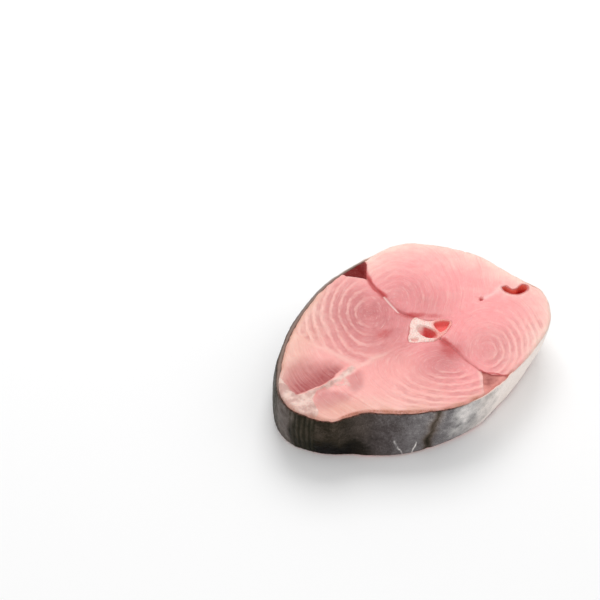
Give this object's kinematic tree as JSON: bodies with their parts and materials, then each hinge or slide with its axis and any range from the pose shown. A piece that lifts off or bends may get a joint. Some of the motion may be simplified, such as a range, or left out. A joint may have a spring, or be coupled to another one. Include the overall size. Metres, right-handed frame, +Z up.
{
  "type": "spanish mackerel steak",
  "caption": "Raw Spanish mackerel steak: a thick oval slice across the fish, pink flaked flesh round a backbone, red muscle under each flank and a dark-to-silver skin",
  "frame": {"origin": "on the ground, below the middle of the steak's bounding box", "axes": "+Z up, along the fish; -X is the back of the fish and +X its belly; +Y and -Y are its two flanks"},
  "size_m": [0.1272, 0.0978, 0.0213],
  "materials": {
    "flesh": "moist, slightly translucent raw flesh",
    "bone": "sawn wet bone",
    "red_muscle": "moist dark meat",
    "skin": "wet skin, black at the back to silver at the belly"
  },
  "bodies": {
    "root": {"flesh": "flesh", "backbone": "bone", "red_muscle_left": "red_muscle", "red_muscle_right": "red_muscle", "skin": "skin"}
  },
  "joints": []
}
